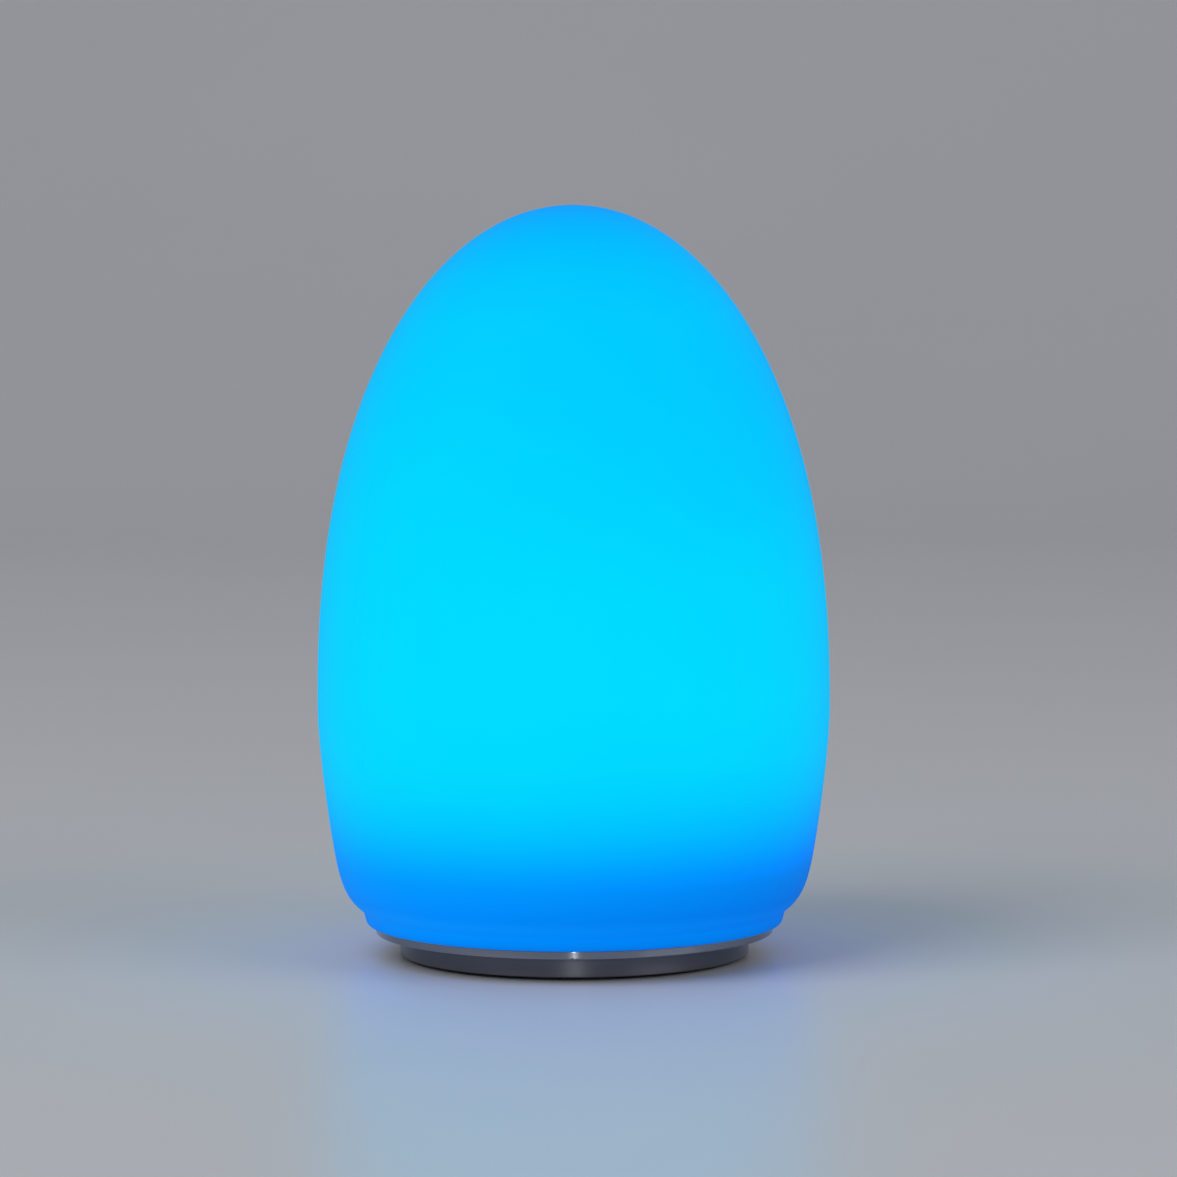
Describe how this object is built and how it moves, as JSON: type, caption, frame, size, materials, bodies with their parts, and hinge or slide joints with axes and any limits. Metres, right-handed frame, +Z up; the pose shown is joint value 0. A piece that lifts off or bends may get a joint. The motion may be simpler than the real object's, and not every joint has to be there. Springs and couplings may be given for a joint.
{
  "type": "mood light",
  "caption": "Cordless egg-shaped mood light: a glowing opal glass egg on a thin steel trim ring and a narrow plastic foot, with its battery, switch and lights inside.",
  "frame": {"origin": "centre of the lamp on the table plane, level with the underside of the rubber feet", "axes": "+Z up through the tip of the egg; -Y towards the front, the side that faces the viewer; the power button and charging port are under the front half"},
  "size_m": [0.1024, 0.1024, 0.15],
  "materials": {
    "opal_glass": "satin frosted, lit from inside",
    "ring_steel": "brushed",
    "foot_plastic": "satin",
    "cover_plastic": "fine texture",
    "clear_silicone": "smooth",
    "black_rubber": "matte",
    "screw_steel": "zinc plated",
    "button_plastic": "satin gloss",
    "door_plastic": "fine texture",
    "socket_steel": "nickel plated",
    "black_plastic": "moulded",
    "clear_plastic": "polished",
    "green_board": "solder mask",
    "white_board": "white solder mask",
    "chip_black": "moulded",
    "part_tan": "ceramic",
    "can_aluminium": "drawn can",
    "ferrite": "ferrite",
    "ivory_plastic": "moulded",
    "cell_wrap": "shrink wrap over a metal can",
    "red_wire": "insulation",
    "black_wire": "insulation",
    "white_wire": "insulation",
    "diode_package": "moulded, gel filled",
    "receiver_black": "infrared-clear epoxy"
  },
  "bodies": {
    "lamp": {"glass_shade": "opal_glass", "shade_seal": "clear_silicone", "trim_ring": "ring_steel", "base_housing": "foot_plastic", "bottom_cover": "cover_plastic", "cover_seal": "black_rubber", "cover_screws": "screw_steel", "rubber_feet": "black_rubber", "switch_body": "black_plastic", "charge_socket": "socket_steel", "socket_tongue": "black_plastic", "door_pin": "screw_steel", "light_pipe": "clear_plastic", "indicator_led": "diode_package", "control_board": "green_board", "microcontroller": "chip_black", "board_capacitors": "can_aluminium", "power_inductor": "ferrite", "chip_parts": "part_tan", "lead_connectors": "ivory_plastic", "board_screws": "screw_steel", "battery_cell": "cell_wrap", "battery_clamps": "ivory_plastic", "clamp_screws": "screw_steel", "battery_lead_pos": "red_wire", "battery_lead_neg": "black_wire", "led_board": "white_board", "led_chips": "diode_package", "led_board_screws": "screw_steel", "ir_receiver": "receiver_black", "led_leads": "white_wire"},
    "button": {"power_button": "button_plastic", "switch_plunger": "black_plastic"},
    "door": {"port_door": "door_plastic"}
  },
  "joints": [
    {"name": "power_button_press", "type": "slide", "parent": "lamp", "child": "button", "axis": [0, 0, 1], "range_m": [0, 0.001], "stiffness_N_per_m": 300, "springref_m": -0.001},
    {"name": "port_door_swing", "type": "hinge", "parent": "lamp", "child": "door", "pos_m": [0.013, -0.013, 0.00195], "axis": [0, -1, 0], "range_deg": [0, 110]}
  ]
}
